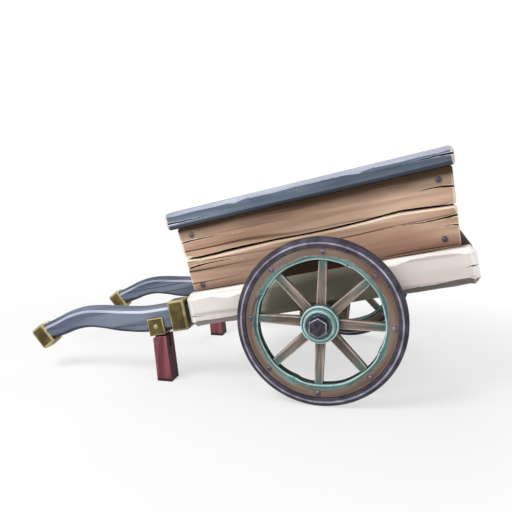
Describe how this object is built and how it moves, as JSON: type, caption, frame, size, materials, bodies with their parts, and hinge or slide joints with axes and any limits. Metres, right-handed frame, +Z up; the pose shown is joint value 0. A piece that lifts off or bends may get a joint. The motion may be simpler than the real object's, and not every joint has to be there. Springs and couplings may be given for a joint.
{
  "type": "weathered two-wheeled hand cart",
  "caption": "Weathered wooden hand cart: flared plank box on two hewn beams, S-curved shafts with brass caps, folding prop legs, spoked iron-tyred wheels on one axle.",
  "frame": {"origin": "on the ground under the middle of the whole cart's bounding box", "axes": "+X from the shaft tips to the tail, +Y to the cart's right as its puller faces, +Z up"},
  "size_m": [2.3652, 1.53, 1.2335],
  "materials": {
    "cream_paint": "old limewash over hewn timber, cracked and chipped",
    "blue_paint": "blue-grey paint on timber, worn pale on the edges",
    "plank_wood": "bare weathered planks with long splits",
    "frame_wood": "bare grey-brown timber",
    "brass": "dull brass, tarnished in the corners",
    "black_iron": "forged iron, dark and worn",
    "tyre_iron": "forged iron tyre, bright on its edges",
    "teal_paint": "teal paint on a turned wooden hub, chipped",
    "felloe_wood": "bare rim timber with teal paint left on its inner edge",
    "red_paint": "dark red paint on timber, scuffed at the foot"
  },
  "bodies": {
    "cart": {"beam_left": "cream_paint", "beam_right": "cream_paint", "front_crossbar": "frame_wood", "axle_crossbar": "frame_wood", "tail_crossbar": "cream_paint", "floor_boards": "plank_wood", "side_lower_left": "plank_wood", "side_lower_right": "plank_wood", "side_upper_left": "plank_wood", "side_upper_right": "plank_wood", "front_lower": "plank_wood", "front_upper": "plank_wood", "tail_lower": "plank_wood", "tail_upper": "plank_wood", "cap_rail_left": "blue_paint", "cap_rail_right": "blue_paint", "front_rail": "blue_paint", "tail_rail": "blue_paint", "corner_posts": "frame_wood", "side_battens": "frame_wood", "axle": "black_iron", "axle_bed": "frame_wood", "axle_block_left": "frame_wood", "axle_block_right": "frame_wood", "axle_nut_left": "black_iron", "axle_nut_right": "black_iron", "shaft_left": "blue_paint", "shaft_right": "blue_paint", "shaft_collar_left": "brass", "shaft_collar_right": "brass", "shaft_cap_left": "brass", "shaft_cap_right": "brass", "leg_bracket_left": "brass", "leg_bracket_right": "brass"},
    "wheel_left": {"hub_left": "teal_paint", "spokes_left": "frame_wood", "felloe_left": "felloe_wood", "tyre_left": "tyre_iron"},
    "wheel_right": {"hub_right": "teal_paint", "spokes_right": "frame_wood", "felloe_right": "felloe_wood", "tyre_right": "tyre_iron"},
    "leg_left": {"prop_leg_left": "red_paint", "leg_pin_left": "black_iron"},
    "leg_right": {"prop_leg_right": "red_paint", "leg_pin_right": "black_iron"}
  },
  "joints": [
    {"name": "wheel_left_spin", "type": "hinge", "parent": "cart", "child": "wheel_left", "pos_m": [0.45975, -0.645, 0.406], "axis": [0, 1, 0], "continuous": true},
    {"name": "wheel_right_spin", "type": "hinge", "parent": "cart", "child": "wheel_right", "pos_m": [0.45975, 0.645, 0.406], "axis": [0, 1, 0], "continuous": true},
    {"name": "leg_left_fold", "type": "hinge", "parent": "cart", "child": "leg_left", "pos_m": [-0.42437, -0.465, 0.20785], "axis": [0, 1, 0], "range_deg": [0, 88]},
    {"name": "leg_right_fold", "type": "hinge", "parent": "cart", "child": "leg_right", "pos_m": [-0.42437, 0.465, 0.20785], "axis": [0, 1, 0], "range_deg": [0, 88]}
  ]
}
